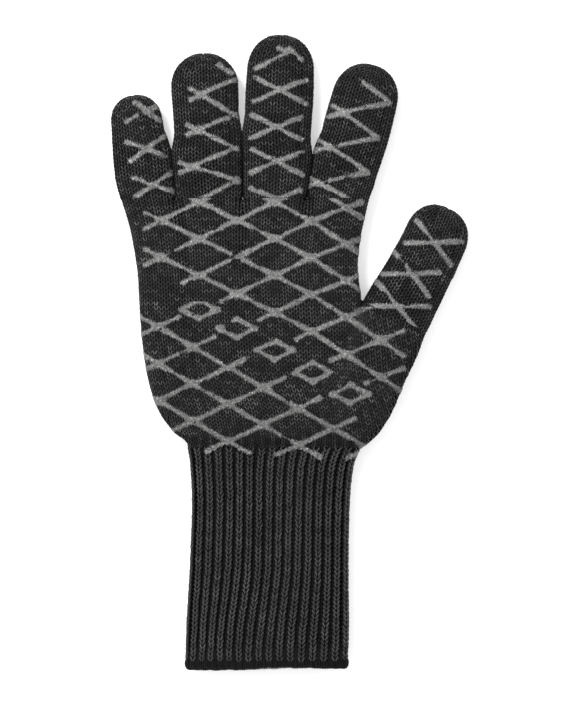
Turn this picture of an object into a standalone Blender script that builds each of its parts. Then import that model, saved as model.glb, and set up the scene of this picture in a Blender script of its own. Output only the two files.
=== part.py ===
"""Lined knit glove for hot grills: outer knit shell, liner, ribbed cuff, edge binding, printed grips.

+Y runs from the cuff to the fingertips, +X towards the thumb and +Z out of the printed face.
The glove lies on its back at z = 0, with the origin below the middle of its outline.  Lengths are in
millimetres and become metres when a mesh is finished.
"""
import math

import bmesh
import bpy
from mathutils import Matrix, Vector
from mathutils.bvhtree import BVHTree

METRES_PER_MM = 0.001

# Layers, from the outside in.
SHELL_WALL = 2.2
LAYER_GAP = 0.3
LINER_WALL = 1.5
SHELL = (0.0, SHELL_WALL)
LINER = (SHELL_WALL + LAYER_GAP, SHELL_WALL + LAYER_GAP + LINER_WALL)

# Where the knit creases between one section and the next.
SEAM_GAP = 0.4
KNUCKLE_Y = 79.0
WRIST_Y = -50.0
CUFF_END_Y = -165.0
HEM_HEIGHT = 5.2
HEM_RIM = 1.1

# Cross-sections are flattened rings: a higher power is squarer.
HAND_SIDES = 24
HAND_POWER = 2.9
STALL_SIDES = 16
STALL_POWER = 2.35
STALL_GROWS_OVER = 0.3
CUT_PAST = 3.0

# A stall's tip: the angles of its rings round the end, and the small flat that closes it.
TIP_TURNS = (0, 36, 65)
TIP_THINNING = 0.8
TIP_FLAT = (0.12, 0.14)

# Hand sections from the wrist to the knuckles: y, left edge, right edge, thickness.
HAND = [
    (WRIST_Y, -53.4, 37.4, 17.5),
    (-45.5, -55.8, 43.0, 18.0),
    (-40.5, -61.6, 47.6, 18.8),
    (-32.0, -68.2, 51.0, 19.8),
    (-17.0, -73.4, 48.0, 21.0),
    (8.0, -77.2, 38.2, 21.4),
    (38.0, -79.8, 35.6, 20.4),
    (KNUCKLE_Y, -87.4, 41.5, 17.4),
]

# Cuff sections from the wrist down: y, left edge, right edge, thickness.
CUFF = [
    (WRIST_Y, -53.4, 37.0, 17.4),
    (-58.0, -52.5, 33.8, 17.0),
    (-78.0, -51.0, 31.4, 16.6),
    (-110.0, -52.4, 31.2, 16.6),
    (-140.0, -54.0, 31.1, 16.8),
    (CUFF_END_Y, -55.0, 30.6, 17.0),
]

# The thumb's root runs from its crease back into the palm: distance back, half width, half height.
THUMB_ROOT = [(0.0, 17.4, 8.3), (17.0, 17.7, 8.6), (36.0, 18.0, 8.6), (52.0, 15.6, 8.2)]
THUMB_ROOT_LIFT = 0.45
THUMB_ROOT_CURVE = 0.9

# The printed grips follow one diamond lattice.
COLUMN = 19.5
HALF_ROW = 9.5
STRAND = 3.2
GRIP_THICKNESS = 0.7
GRIP_LIFT = 0.7
GRIP_EDGE = 9.0
GRIP_FROM_WRIST = 7.2
GRIP_FROM_KNUCKLES = 3.7
STRAND_OVERRUN = 0.2
CORNER_OVERRUN = 2.2
ABOVE_THE_GLOVE = 60.0
PALM_CROSSING = (-7.8, 59.3)
BAND_ABOVE, BAND_BELOW = -2, -4
LOZENGE_SCALE = 0.50
LOZENGE_STRAND = 3.0
LOZENGE_OVERRUN = 0.3
LOZENGES = 5

# Crosses on a stall: distance along it, offset across it, and how far the arms reach to each side.
CROSSES = {
    "little": [(8.2, 0.4, 4.0), (27.0, 0.0, 4.0), (42.0, 0.5, 4.0)],
    "middle": [(19.3, 0.0, 8.0), (37.3, 0.0, 8.0), (56.2, 0.0, 8.0), (74.0, 0.0, 4.0)],
    "thumb": [(8.2, -0.5, 8.0), (24.5, -0.5, 8.0), (44.0, 0.0, 8.0)],
}

# Zigzags on a stall, one each side of its bend: one left corner's distance and offset, then the
# distances between which the zigzag runs.
ZIGZAGS = {
    "ring": [(15.6, -9.4, 3.0, 37.0), (53.4, -9.4, 42.0, 63.0)],
    "index": [(24.6, -9.6, 3.0, 37.2), (43.8, -9.6, 42.2, 60.0)],
}


class Stall:
    """A finger or thumb stall: a leaning, flattened tube from its crease to a round tip."""

    def __init__(self, name, base, lean, root_width, width, length, thick, bend, square_root=True):
        self.name = name
        self.base = Vector((base[0], base[1], 0.0))
        turn = math.radians(lean)
        self.lean = turn
        self.along = Vector((math.sin(turn), math.cos(turn), 0.0))
        self.across = Vector((math.cos(turn), -math.sin(turn), 0.0))
        self.root_across = Vector((1.0, 0.0, 0.0)) if square_root else self.across
        self.root_half = root_width / 2
        self.half = width / 2
        self.length = length
        self.root_height, self.tip_height = (t / 2 for t in thick)
        self.bend = bend

    def height(self, s):
        return self.root_height + (self.tip_height - self.root_height) * s / self.length

    def sizes(self, s, inset):
        """Half width and half height at distance s, inset from the outside."""
        grown = min(1.0, s / (self.length * STALL_GROWS_OVER))
        half = self.root_half + (self.half - self.root_half) * grown
        return half - inset, self.height(s) - inset

    def ring(self, bm, s, inset):
        half, height = self.sizes(s, inset)
        across = self.root_across if s < SEAM_GAP else self.across
        start = self.base
        if s < SEAM_GAP and self.root_across != self.across:
            centre = start + Vector((0.0, s, 0.0))
        else:
            centre = start + self.along * s
        centre.z = self.height(s)
        return section(bm, centre, across, half, height, STALL_SIDES, STALL_POWER)

    def tip_rings(self, bm, inset):
        """The round end, which closes on a small flat."""
        shoulder = self.length - self.half
        radius = self.half - inset
        half, height = self.sizes(shoulder, inset)
        rings = []
        for degrees in TIP_TURNS:
            turn = math.radians(degrees)
            centre = self.base + self.along * (shoulder + radius * math.sin(turn))
            centre.z = self.height(shoulder)
            shrink = math.cos(turn)
            rings.append(section(bm, centre, self.across, half * shrink, height * shrink ** TIP_THINNING,
                                 STALL_SIDES, STALL_POWER))
        centre = self.base + self.along * (shoulder + radius)
        centre.z = self.height(shoulder)
        rings.append(section(bm, centre, self.across, half * TIP_FLAT[0], height * TIP_FLAT[1],
                             STALL_SIDES, STALL_POWER))
        return rings


STALLS = [
    Stall("little", (-73.4, KNUCKLE_Y), -8.6, 27.4, 27.6, 55.1, (16.2, 14.6), 19.8),
    Stall("ring", (-41.9, KNUCKLE_Y), -2.5, 34.3, 34.5, 76.5, (17.0, 15.4), 39.4),
    Stall("middle", (-7.8, KNUCKLE_Y), 2.45, 32.9, 35.2, 86.1, (17.0, 15.4), 46.6),
    Stall("index", (25.55, KNUCKLE_Y), 14.7, 31.6, 34.8, 72.6, (17.0, 15.4), 39.6),
    Stall("thumb", (54.0, 17.7), 25.7, 34.8, 35.0, 63.8, (16.6, 15.4), 33.8, square_root=False),
]
THUMB = STALLS[-1]


def clear_scene():
    for thing in list(bpy.data.objects):
        bpy.data.objects.remove(thing, do_unlink=True)


def new_collection(name):
    collection = bpy.data.collections.new(name)
    bpy.context.scene.collection.children.link(collection)
    return collection


def new_material(name, colour, roughness):
    material = bpy.data.materials.new(name)
    material.use_nodes = True
    shader = material.node_tree.nodes["Principled BSDF"]
    shader.inputs["Base Color"].default_value = (*colour, 1.0)
    shader.inputs["Roughness"].default_value = roughness
    shader.inputs["Metallic"].default_value = 0.0
    return material


def section(bm, centre, across, half_width, half_height, sides, power):
    """One flattened ring with a level facet on top and underneath."""
    reach = math.cos(math.pi / sides) ** (2 / power)
    ring = []
    for k in range(sides):
        turn = 2 * math.pi * (k + 0.5) / sides
        side, rise = (math.copysign(abs(f) ** (2 / power), f) / reach for f in (math.cos(turn), math.sin(turn)))
        ring.append(bm.verts.new(centre + across * half_width * side + Vector((0, 0, half_height * rise))))
    return ring


def skin(bm, rings, looped):
    """Joins rings in order with quads, then either closes the chain or caps both of its ends."""
    pairs = list(zip(rings, rings[1:]))
    if looped:
        pairs.append((rings[-1], rings[0]))
    for lower, upper in pairs:
        for k in range(len(lower)):
            after = (k + 1) % len(lower)
            bm.faces.new((lower[k], lower[after], upper[after], upper[k]))
    if not looped:
        bm.faces.new(rings[0])
        bm.faces.new(rings[-1])
    bmesh.ops.recalc_face_normals(bm, faces=bm.faces)


def finish(bm, name, collection, material):
    """Turns a millimetre bmesh into a metre object."""
    bmesh.ops.scale(bm, vec=(METRES_PER_MM,) * 3, verts=bm.verts)
    mesh = bpy.data.meshes.new(name)
    bm.to_mesh(mesh)
    bm.free()
    part = bpy.data.objects.new(name, mesh)
    part.data.materials.append(material)
    collection.objects.link(part)
    return part


def flat_ring(bm, row, inset):
    """A hand or cuff section, square to the glove's length."""
    y, left, right, thick = row
    centre = Vector(((left + right) / 2, y, thick / 2))
    return section(bm, centre, Vector((1, 0, 0)), (right - left) / 2 - inset, thick / 2 - inset,
                   HAND_SIDES, HAND_POWER)


def moved(row, y):
    return (y, *row[1:])


def hand_solid(inset, past):
    """The hand's form at one depth below its face, cut square or run straight past at both ends."""
    bm = bmesh.new()
    rows = [moved(HAND[0], WRIST_Y + SEAM_GAP / 2), *HAND[1:-1], moved(HAND[-1], KNUCKLE_Y - SEAM_GAP / 2)]
    if past:
        rows = [moved(rows[0], rows[0][0] - past), *rows, moved(rows[-1], rows[-1][0] + past)]
    skin(bm, [flat_ring(bm, row, inset) for row in rows], looped=False)
    return bm


def thumb_root_solid(inset, past):
    """The thumb's root at one depth below its face, from its crease back into the palm."""
    bm = bmesh.new()
    rings = []
    deepest = THUMB_ROOT[-1][0]
    stations = list(THUMB_ROOT)
    if past:
        stations.insert(0, (-past, *stations[0][1:]))
    for back, half, height in stations:
        inner_end = inset if back == deepest else 0.0
        distance = -back + inner_end - SEAM_GAP / 2
        bow = THUMB_ROOT_CURVE * math.sin(math.pi * max(back, 0.0) / deepest)
        centre = THUMB.base + THUMB.along * distance + THUMB.across * bow
        centre.z = THUMB_ROOT_LIFT + height
        rings.append(section(bm, centre, THUMB.across, half - inset, height - inset, STALL_SIDES, STALL_POWER))
    skin(bm, rings, looped=False)
    return bm


def combine(part, other, operation):
    step = part.modifiers.new(operation.lower() + "_" + other.name, "BOOLEAN")
    step.operation = operation
    step.solver = "EXACT"
    step.object = other


def hide_cutter(cutter):
    cutter.hide_render = True
    cutter.display_type = "WIRE"


def palm(name, layer, glove, cutters, material):
    """The palm layer: the hand and the thumb's root joined, then hollowed."""
    outside, inside = layer
    body = finish(hand_solid(outside, 0.0), name, glove, material)
    steps = [
        (thumb_root_solid(outside, 0.0), "root_out", "UNION"),
        (hand_solid(inside, CUT_PAST), "hand_in", "DIFFERENCE"),
        (thumb_root_solid(inside, CUT_PAST), "root_in", "DIFFERENCE"),
    ]
    for bm, tag, operation in steps:
        cutter = finish(bm, name + "_" + tag, cutters, material)
        hide_cutter(cutter)
        combine(body, cutter, operation)
    return body


def stall_lower(stall, layer_name, layer, glove, material):
    """The open sleeve between a stall's crease at the hand and its bend."""
    outside, inside = layer
    stations = [SEAM_GAP / 2, stall.bend * 0.5, stall.bend - SEAM_GAP / 2]
    bm = bmesh.new()
    outer = [stall.ring(bm, s, outside) for s in stations]
    inner = [stall.ring(bm, s, inside) for s in reversed(stations)]
    skin(bm, outer + inner, looped=True)
    return finish(bm, stall.name + "_" + layer_name + "_lower", glove, material)


def stall_upper(stall, layer_name, layer, glove, material):
    """The closed end of a stall, from its bend to the tip."""
    outside, inside = layer
    start = stall.bend + SEAM_GAP / 2
    middle = (start + stall.length - stall.half) / 2
    bm = bmesh.new()
    outer = [stall.ring(bm, s, outside) for s in (start, middle)] + stall.tip_rings(bm, outside)
    inner = [stall.ring(bm, s, inside) for s in (start, middle)] + stall.tip_rings(bm, inside)
    skin(bm, outer[::-1] + inner, looped=False)
    return finish(bm, stall.name + "_" + layer_name + "_upper", glove, material)


def cuff(name, layer, glove, material):
    outside, inside = layer
    rows = [moved(CUFF[0], WRIST_Y - SEAM_GAP / 2), *CUFF[1:-1], moved(CUFF[-1], CUFF_END_Y + HEM_HEIGHT)]
    bm = bmesh.new()
    outer = [flat_ring(bm, row, outside) for row in rows]
    inner = [flat_ring(bm, row, inside) for row in reversed(rows)]
    skin(bm, outer + inner, looped=True)
    return finish(bm, name, glove, material)


def hem(name, glove, material):
    """The bound edge: a ring that caps the ends of the shell and the liner."""
    upper = CUFF_END_Y + HEM_HEIGHT - LAYER_GAP
    lower = CUFF_END_Y + HEM_RIM
    profile = [(upper, 0.0), (lower, 0.0), (CUFF_END_Y, HEM_RIM), (CUFF_END_Y, LINER[1] - HEM_RIM),
               (lower, LINER[1]), (upper, LINER[1])]
    bm = bmesh.new()
    rings = [flat_ring(bm, moved(CUFF[-1], y), inset) for y, inset in profile]
    skin(bm, rings, looped=True)
    return finish(bm, name, glove, material)


def face_of(part):
    """The finished outside of a part, for laying a grip on."""
    bpy.context.view_layer.update()
    return BVHTree.FromObject(part, bpy.context.evaluated_depsgraph_get())


def grip(name, face, crossing, lean, keep, glove, material, scale=1.0, strand=STRAND, splits=4, reach=1):
    """One printed grip: the strands of the diamond lattice about a crossing that keep() accepts.

    In lattice steps u and v the strands are the whole numbers, so the lattice is a plain grid with
    its open cells left out, skewed into diamonds and laid on the face.
    """
    column, half_row = COLUMN * scale, HALF_ROW * scale
    half_strand = strand * math.hypot(column, half_row) / (4 * column * half_row)
    places = [-half_strand, half_strand] + [k / splits for k in range(1, splits)]
    step = len(places)
    cells = 2 * reach * step + 1

    def place(tick):
        return tick // step - reach + places[tick % step]

    def local(u, v):
        return (u + v) * column, (u - v) * half_row

    bm = bmesh.new()
    bmesh.ops.create_grid(bm, x_segments=cells, y_segments=cells, size=cells / 2)
    for vert in bm.verts:
        ticks = (round(vert.co.x + cells / 2), round(vert.co.y + cells / 2))
        vert.co.x, vert.co.y = place(ticks[0]), place(ticks[1])
    open_cells = []
    for cell in bm.faces:
        middle = cell.calc_center_median()
        on_strand = any(abs(part - round(part)) < half_strand / 2 for part in (middle.x, middle.y))
        if not (on_strand and keep(*local(middle.x, middle.y), middle.x, middle.y)):
            open_cells.append(cell)
    bmesh.ops.delete(bm, geom=open_cells, context="FACES")
    for vert in bm.verts:
        vert.co.x, vert.co.y = local(vert.co.x, vert.co.y)
    bmesh.ops.rotate(bm, verts=bm.verts, cent=(0, 0, 0), matrix=Matrix.Rotation(-lean, 3, "Z"))
    bmesh.ops.translate(bm, verts=bm.verts, vec=(crossing[0], crossing[1], 0))
    for vert in bm.verts:
        above = Vector((vert.co.x, vert.co.y, ABOVE_THE_GLOVE)) * METRES_PER_MM
        hit = face.ray_cast(above, Vector((0, 0, -1)))[0]
        vert.co.z = hit.z / METRES_PER_MM + GRIP_LIFT
    bm.normal_update()
    downward = [cell for cell in bm.faces if cell.normal.z < 0]
    bmesh.ops.reverse_faces(bm, faces=downward)
    part = finish(bm, name, glove, material)
    wall = part.modifiers.new("thickness", "SOLIDIFY")
    wall.thickness = GRIP_THICKNESS * METRES_PER_MM
    wall.offset = 1.0
    return part


def hand_edges(y):
    """The hand's left and right edges at y, without the thumb's root."""
    for low, high in zip(HAND, HAND[1:]):
        if low[0] <= y <= high[0]:
            mix = (y - low[0]) / (high[0] - low[0])
            return tuple(low[k] + (high[k] - low[k]) * mix for k in (1, 2))
    return 0.0, 0.0


def palm_grips(face, glove, material):
    """The lattice above and below the plain band, and the row of lozenges along the band."""
    home_x, home_y = PALM_CROSSING

    def on_palm(x, y):
        x, y = x + home_x, y + home_y
        if not WRIST_Y + GRIP_FROM_WRIST < y < KNUCKLE_Y - GRIP_FROM_KNUCKLES:
            return False
        left, right = hand_edges(y)
        return left + GRIP_EDGE < x < right - GRIP_EDGE

    def above(x, y, u, v):
        return u > BAND_ABOVE - STRAND_OVERRUN and on_palm(x, y)

    def below(x, y, u, v):
        return u < BAND_BELOW + STRAND_OVERRUN and on_palm(x, y)

    def one_diamond(x, y, u, v):
        low, high = -LOZENGE_OVERRUN, 1 + LOZENGE_OVERRUN
        return low < u < high and low < v < high

    grip("palm_grip_upper", face, PALM_CROSSING, 0.0, above, glove, material, reach=6)
    grip("palm_grip_lower", face, PALM_CROSSING, 0.0, below, glove, material, reach=9)
    middle = (BAND_ABOVE + BAND_BELOW) // 2
    for count, v in enumerate(range(1, LOZENGES + 1)):
        x = home_x + (middle + v) * COLUMN - LOZENGE_SCALE * COLUMN
        y = home_y + (middle - v) * HALF_ROW
        grip("band_lozenge_%d" % (count + 1), face, (x, y), 0.0, one_diamond, glove, material,
             scale=LOZENGE_SCALE, strand=LOZENGE_STRAND, splits=2, reach=2)


def stall_crosses(stall, faces, glove, material):
    """Separate crosses on one stall."""
    for count, (along, offset, reach) in enumerate(CROSSES[stall.name]):
        where = stall.base + stall.along * along + stall.across * offset

        def one_cross(x, y, u, v, reach=reach):
            return abs(x) < reach and abs(y) < HALF_ROW

        face = faces[along > stall.bend]
        grip("%s_grip_%d" % (stall.name, count + 1), face, where, stall.lean, one_cross, glove, material)


def stall_zigzags(stall, faces, glove, material):
    """Zigzags on one stall: a strip of the lattice one column wide."""
    for count, (corner, offset, low, high) in enumerate(ZIGZAGS[stall.name]):
        where = stall.base + stall.along * corner + stall.across * offset

        def one_column(x, y, u, v, low=low, high=high, corner=corner):
            return -CORNER_OVERRUN < x < COLUMN + CORNER_OVERRUN and low < y + corner < high

        face = faces[corner > stall.bend]
        grip("%s_grip_%d" % (stall.name, count + 1), face, where, stall.lean, one_column, glove, material,
             reach=3)


def build():
    clear_scene()
    glove = new_collection("knit_glove")
    cutters = new_collection("cutters")
    knit = new_material("knit", (0.035, 0.035, 0.037), 0.95)
    lining = new_material("lining", (0.16, 0.155, 0.145), 0.95)
    binding = new_material("binding", (0.03, 0.03, 0.031), 0.95)
    silicone = new_material("silicone", (0.28, 0.28, 0.28), 0.5)

    palm_shell = palm("palm_shell", SHELL, glove, cutters, knit)
    palm("palm_liner", LINER, glove, cutters, lining)
    cuff("cuff_shell", SHELL, glove, knit)
    cuff("cuff_liner", LINER, glove, lining)
    hem("cuff_hem", glove, binding)
    palm_grips(face_of(palm_shell), glove, silicone)
    for stall in STALLS:
        lower = stall_lower(stall, "shell", SHELL, glove, knit)
        upper = stall_upper(stall, "shell", SHELL, glove, knit)
        stall_lower(stall, "liner", LINER, glove, lining)
        stall_upper(stall, "liner", LINER, glove, lining)
        faces = (face_of(lower), face_of(upper))
        if stall.name in CROSSES:
            stall_crosses(stall, faces, glove, silicone)
        else:
            stall_zigzags(stall, faces, glove, silicone)


build()
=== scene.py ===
import math

import bmesh
import bpy
import numpy as np
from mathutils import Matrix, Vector


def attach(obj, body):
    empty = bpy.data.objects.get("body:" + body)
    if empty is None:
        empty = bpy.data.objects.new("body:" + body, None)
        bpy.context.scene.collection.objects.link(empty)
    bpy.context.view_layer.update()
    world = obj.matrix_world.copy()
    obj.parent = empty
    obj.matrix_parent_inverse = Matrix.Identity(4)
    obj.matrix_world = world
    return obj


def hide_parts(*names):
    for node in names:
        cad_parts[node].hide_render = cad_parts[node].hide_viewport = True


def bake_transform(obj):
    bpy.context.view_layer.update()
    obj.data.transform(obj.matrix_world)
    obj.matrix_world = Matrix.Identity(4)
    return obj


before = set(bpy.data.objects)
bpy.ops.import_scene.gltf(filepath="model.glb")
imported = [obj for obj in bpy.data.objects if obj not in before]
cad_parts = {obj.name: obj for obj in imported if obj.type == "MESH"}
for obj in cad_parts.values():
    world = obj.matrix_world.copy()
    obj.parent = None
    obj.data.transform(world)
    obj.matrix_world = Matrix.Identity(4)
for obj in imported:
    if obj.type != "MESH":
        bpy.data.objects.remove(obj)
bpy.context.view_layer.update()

# Camera.  The glove lies on its back and is seen from straight above, a little off its middle.
# VIEW_HEIGHT is the height of the view in metres at SEEN_LEVEL, half way up the glove.
LENS_MM = 85.0
SENSOR_MM = 36.0
VIEW_HEIGHT = 0.3696
SEEN_LEVEL = 0.010
EYE = (-0.0031, -0.0021, VIEW_HEIGHT * LENS_MM / SENSOR_MM + SEEN_LEVEL)
camera_data = bpy.data.cameras.new("camera")
camera_data.lens = LENS_MM
camera_data.clip_start = 0.01
camera = bpy.data.objects.new("camera", camera_data)
camera.location = EYE
bpy.context.scene.collection.objects.link(camera)
bpy.context.scene.camera = camera
bpy.context.scene.view_settings.view_transform = "Standard"

# Table and light.  A plain white table that glows a little, a bright even room, and one broad window
# at the upper left.
TABLE_HALF = 6.0
TABLE_GLOW = 0.42
ROOM_LIGHT = 0.85
floor_bm = bmesh.new()
bmesh.ops.create_grid(floor_bm, x_segments=1, y_segments=1, size=TABLE_HALF)
floor_mesh = bpy.data.meshes.new("table_top")
floor_bm.to_mesh(floor_mesh)
floor_bm.free()
floor = bpy.data.objects.new("table_top", floor_mesh)
bpy.context.scene.collection.objects.link(floor)
white = bpy.data.materials.new("table_white")
white.use_nodes = True
table_shader = white.node_tree.nodes["Principled BSDF"]
table_shader.inputs["Base Color"].default_value = (0.95, 0.95, 0.95, 1)
table_shader.inputs["Roughness"].default_value = 0.9
table_shader.inputs["Specular IOR Level"].default_value = 0.1
table_shader.inputs["Emission Color"].default_value = (1, 1, 1, 1)
table_shader.inputs["Emission Strength"].default_value = TABLE_GLOW
floor.data.materials.append(white)

world = bpy.data.worlds.new("room")
world.use_nodes = True
world.node_tree.nodes["Background"].inputs["Color"].default_value = (1, 1, 1, 1)
world.node_tree.nodes["Background"].inputs["Strength"].default_value = ROOM_LIGHT
bpy.context.scene.world = world


def soft_light(name, place, size, power):
    """A square lamp that faces the middle of the table."""
    lamp = bpy.data.lights.new(name, "AREA")
    lamp.size = size
    lamp.energy = power
    holder = bpy.data.objects.new(name, lamp)
    holder.location = place
    holder.rotation_euler = (-Vector(place)).to_track_quat("-Z", "Y").to_euler()
    bpy.context.scene.collection.objects.link(holder)


soft_light("window", (-0.55, 0.65, 1.10), 0.40, 13.0)

# Palm knit.  The hand is one stockinette tube of charcoal yarn, knitted in rows across the hand.
# Each row is a real strand of loops.  The thumb's wales leave it at the side, and it parts into
# four stalls at the knuckles.  Sizes here are millimetres, columns of stitches and rows of stitches.
MM = 0.001
KNUCKLE_Y = 79.0
WRIST_Y = -50.0
YARN_RADIUS = 0.50
YARN_SWING = 0.50
CREST = YARN_RADIUS + YARN_SWING
COURSE = 2.08
LOOP_HEIGHT = 0.93
LOOP_LEAN = 0.255
LOOSE_LEAN = 0.015
LOOSE_HEIGHT = 0.03
LOOSE_LIFT = 0.03
POINTS_PER_STITCH = 10
HAND_POWER = 2.9
STALL_POWER = 2.35
ROOT_POWER = 2.7
HAND_COLUMNS = 44
HIGH_COURSES = 26
LOW_COURSES = 36
WRIST_EDGES = (-53.6, 37.5)
CROTCH = (37.6, 25.5)
CROTCH_MIDDLE = 9.4
HAND_EDGE_AT_CROTCH = -78.7
THUMB_PARTS_FROM = 0.82
FINGERS_PART_FROM = 0.86
FINGERS = ("little", "ring", "middle", "index")
STALLS = {
    "little": {"base": (-73.8, KNUCKLE_Y), "lean": -8.6, "root": 29.0, "width": 27.8, "length": 55.3,
               "thick": (16.2, 14.6), "bend": 19.8, "columns": 11},
    "ring": {"base": (-41.9, KNUCKLE_Y), "lean": -2.5, "root": 34.8, "width": 34.9, "length": 76.7,
             "thick": (17.0, 15.4), "bend": 39.4, "columns": 13},
    "middle": {"base": (-7.8, KNUCKLE_Y), "lean": 2.45, "root": 33.3, "width": 35.4, "length": 86.2,
               "thick": (17.0, 15.4), "bend": 46.6, "columns": 13},
    "index": {"base": (25.2, KNUCKLE_Y), "lean": 14.7, "root": 32.6, "width": 35.0, "length": 72.8,
              "thick": (17.0, 15.4), "bend": 39.6, "columns": 13},
    "thumb": {"base": (54.46, 17.41), "lean": 25.7, "root": 37.4, "width": 35.2, "length": 64.0,
              "thick": (17.0, 15.4), "bend": 33.8, "columns": 13},
}
THUMB_COLUMNS = STALLS["thumb"]["columns"]
LOW_COLUMNS = HAND_COLUMNS + THUMB_COLUMNS
unevenness = np.random.default_rng(11)


def ease(t):
    """From 0 to 1 with a soft start and a soft end."""
    t = np.clip(t, 0, 1)
    return t * t * (3 - 2 * t)


def smooth_line(points):
    """A smooth line through a few points, read by the share of its length, and straight past its ends."""
    points = np.array(points, float)
    framed = np.vstack([2 * points[0] - points[1], points, 2 * points[-1] - points[-2]])
    share = np.linspace(0, 1, 24, endpoint=False)[:, None]
    bits = [0.5 * (2 * b + (c - a) * share + (2 * a - 5 * b + 4 * c - d) * share ** 2
                   + (3 * b - a - 3 * c + d) * share ** 3)
            for a, b, c, d in zip(framed, framed[1:], framed[2:], framed[3:])]
    line = np.vstack(bits + [points[-1:]])
    run = np.concatenate([[0], np.cumsum(np.linalg.norm(np.diff(line, axis=0), axis=1))])
    run = run / run[-1]
    tail = 0.2
    before = line[0] - (line[1] - line[0]) / run[1] * tail
    after = line[-1] + (line[-1] - line[-2]) / (1 - run[-2]) * tail
    line = np.vstack([before, line, after])
    run = np.concatenate([[-tail], run, [1 + tail]])
    return lambda at: np.stack([np.interp(at, run, line[:, k]) for k in range(line.shape[1])], -1)


def crown(share, power):
    """Height of a flattened face, from 0 at its edges to 1 at its middle."""
    return np.maximum(0, 1 - np.abs(2 * np.clip(share, 0, 1) - 1) ** power) ** (1 / power)


def even_shares(tallness, power):
    """Where evenly spaced columns fall across a face, when they are spaced along its crown."""
    share = (1 - np.cos(np.linspace(0, np.pi, 2001))) / 2
    run = np.concatenate([[0], np.cumsum(np.hypot(np.diff(share), tallness * np.diff(crown(share, power))))])
    return lambda at: np.interp(at, run / run[-1], share)


hand_shares = even_shares(0.09, HAND_POWER)
stall_shares = even_shares(0.24, STALL_POWER)


def fold(column, columns):
    """Column within its face, and whether that face is the back one."""
    column = np.mod(column, 2 * columns)
    back = column > columns
    return np.where(back, 2 * columns - column, column), back


def bumps(x, y, size, seed):
    """Gentle unevenness, the same each run: a few crossed waves, between -1 and 1."""
    total = np.zeros_like(x)
    for k in range(4):
        turn = seed + 2.4 * k
        total = total + np.sin((x * math.cos(turn) + y * math.sin(turn)) / size * (1 + 0.37 * k) + turn * 3.1)
    return total / 4


# The hand's edges, each from its lower end upwards, and its thickness at the wrist (0), the thumb's
# crotch (1), the knuckles (2) and between.
left_low = smooth_line([(-53.6, -50), (-55.2, -46), (-61.5, -41), (-68.7, -30.7), (-73.9, -15.1),
                        (-77.2, 5.7), (-78.7, 25.5)])
right_low = smooth_line([(37.5, -50), (42.7, -46.3), (47.8, -41), (54.0, -30.7), (60.6, -15.3),
                         (66.2, -3.9), (71.31, 9.30)])
left_high = smooth_line([(-78.7, 25.5), (-79.8, 42), (-83.5, 63), (-88.3, 79.0)])
right_high = smooth_line([(37.6, 25.5), (35.7, 42), (36.8, 57), (41.5, 79.0)])
THICKNESS_AT = (0.0, 0.12, 0.3, 0.55, 1.0, 1.5, 2.0)
THICKNESS = (17.5, 19.0, 20.6, 21.4, 20.8, 19.4, 17.3)


def stall_row(name, inset, power, first, last):
    """Places across, places along, mid heights and rises of a stall's columns at its root."""
    stall = STALLS[name]
    share = stall_shares(np.arange(first, last + 1) / stall["columns"])
    lean = math.radians(stall["lean"]) if name == "thumb" else 0.0
    offset = (stall["root"] / 2 - inset) * (2 * share - 1)
    deep = stall["thick"][0] / 2
    return np.stack([stall["base"][0] + offset * math.cos(lean), stall["base"][1] - offset * math.sin(lean),
                     np.full(len(share), deep), (deep - inset) * crown(share, power)])


def knuckle_row(inset):
    """Where each column of the hand ends at the knuckles: four stalls with a crease between each two."""
    parts = []
    for name, after in zip(FINGERS, FINGERS[1:] + (None,)):
        first = 0 if name == FINGERS[0] else 2
        last = STALLS[name]["columns"] - (2 if after else 0)
        parts.append(stall_row(name, inset, ROOT_POWER, first, last))
        if after:
            crease = (STALLS[name]["base"][0] + STALLS[name]["root"] / 2 + STALLS[after]["base"][0]
                      - STALLS[after]["root"] / 2) / 2
            parts.append(np.array([[crease], [KNUCKLE_Y], [STALLS[name]["thick"][0] / 2], [0]]))
    return np.hstack(parts)


def crotch_row(inset):
    """The hand's columns level with the thumb's crotch."""
    share = hand_shares(np.arange(HAND_COLUMNS + 1) / HAND_COLUMNS)
    left, right = HAND_EDGE_AT_CROTCH + inset, CROTCH[0] - inset
    half = THICKNESS[4] / 2
    return np.stack([left + (right - left) * share, np.full(len(share), CROTCH[1]),
                     np.full(len(share), half), (half - inset) * crown(share, HAND_POWER)])


def wide_row(inset):
    """The same columns with the thumb's beside them, where the thumb leaves the hand."""
    crease = np.array([[CROTCH[0]], [CROTCH[1]], [CROTCH_MIDDLE], [0]])
    thumb = stall_row("thumb", inset, STALL_POWER, 1, THUMB_COLUMNS)
    return np.hstack([crotch_row(inset)[:, :-1], crease, thumb])


def patch(column, v, columns, lower, left, right, row, parts_from):
    """Cloth between four lines: a lower line, two sides, and an upper row that may part into stalls."""
    s = hand_shares(column / columns)[..., None]
    w = v[..., None]
    at = np.arange(columns + 1)
    upper = np.stack([np.interp(column, at, row[0]), np.interp(column, at, row[1])], -1)
    first, last = row[:2, 0], row[:2, -1]
    low_left, low_right = left(np.zeros(1))[0], right(np.zeros(1))[0]
    corners = ((1 - s) * (1 - w) * low_left + s * (1 - w) * low_right + (1 - s) * w * first + s * w * last)
    plan = (1 - w) * lower(column) + w * upper + (1 - s) * left(v) + s * right(v) - corners
    parted = ease((v - parts_from) / (1 - parts_from))
    return plan, parted, np.interp(column, at, row[2]), np.interp(column, at, row[3])


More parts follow.
